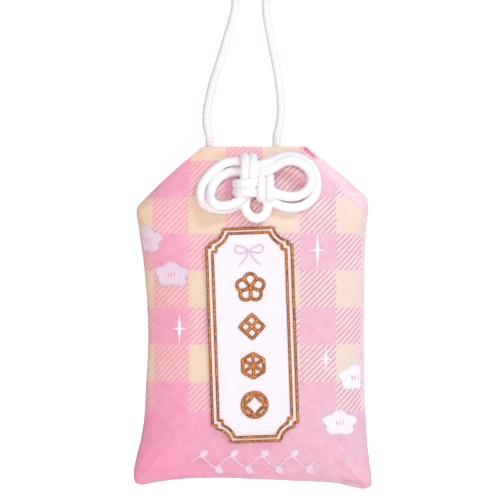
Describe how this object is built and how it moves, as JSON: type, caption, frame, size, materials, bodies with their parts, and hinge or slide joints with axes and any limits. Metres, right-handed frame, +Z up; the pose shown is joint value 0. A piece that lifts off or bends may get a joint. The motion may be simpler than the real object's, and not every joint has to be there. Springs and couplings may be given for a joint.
{
  "type": "omamori charm",
  "caption": "Padded brocade pouch with chamfered shoulders, a stitched label, a decorative cord knot on its front and a cord loop to hang it by.",
  "frame": {"origin": "the inside of the hanging loop's bight, where it rests on a hook", "axes": "+Z up along the charm, +X to the right as seen from the front, the label faces -Y"},
  "size_m": [0.0498, 0.0116, 0.1084],
  "materials": {
    "brocade": "woven gingham brocade in pink and cream with a soft sheen",
    "satin": "white satin weave",
    "copper_thread": "copper-coloured satin-stitch thread with a soft gleam",
    "lilac_thread": "fine lilac-pink stitching thread",
    "white_thread": "white embroidery thread, satin stitched",
    "white_cord": "round braided white cord",
    "wadding": "cotton wadding",
    "board": "grey-brown pulp board",
    "paper": "folded mulberry paper",
    "cedar": "planed cedar"
  },
  "bodies": {
    "hanging_cord": {"hanging_loop": "white_cord"},
    "pouch": {"pouch_front": "brocade", "pouch_back": "brocade", "left_seam_thread": "white_thread", "right_seam_thread": "white_thread", "bottom_seam_thread": "white_thread", "stiffener_card": "board", "paper_wrapper": "paper", "wooden_tablet": "cedar", "wadding_sheet": "wadding", "label_panel": "satin", "label_frame_outer": "copper_thread", "label_frame_inner": "copper_thread", "emblem_blossom": "copper_thread", "emblem_lozenge": "copper_thread", "emblem_hemp_leaf": "copper_thread", "emblem_rings": "copper_thread", "bow_motif": "lilac_thread", "vine_border": "white_thread", "blossom_upper_left": "white_thread", "blossom_left": "white_thread", "blossom_right": "white_thread", "blossom_lower_right": "white_thread", "sparkle_left": "white_thread", "sparkle_upper_right": "white_thread", "sparkle_right": "white_thread", "left_cord_leg": "white_cord", "right_cord_leg": "white_cord"},
    "knot": {"left_ear_outer": "white_cord", "left_ear_inner": "white_cord", "right_ear_outer": "white_cord", "right_ear_inner": "white_cord", "small_loop": "white_cord", "knot_top_pair": "white_cord", "knot_right_pair": "white_cord", "knot_bottom_pair": "white_cord", "knot_left_pair": "white_cord", "knot_back": "white_cord"}
  },
  "joints": [
    {"name": "pouch_swing", "type": "hinge", "parent": "hanging_cord", "child": "pouch", "pos_m": [-0.0021, 0.0008, -0.033], "axis": [1, 0, 0], "range_deg": [-90, 90]},
    {"name": "knot_lift", "type": "hinge", "parent": "pouch", "child": "knot", "pos_m": [0.0012, -0.00225, -0.0373], "axis": [1, 0, 0], "range_deg": [-50, 0]}
  ]
}
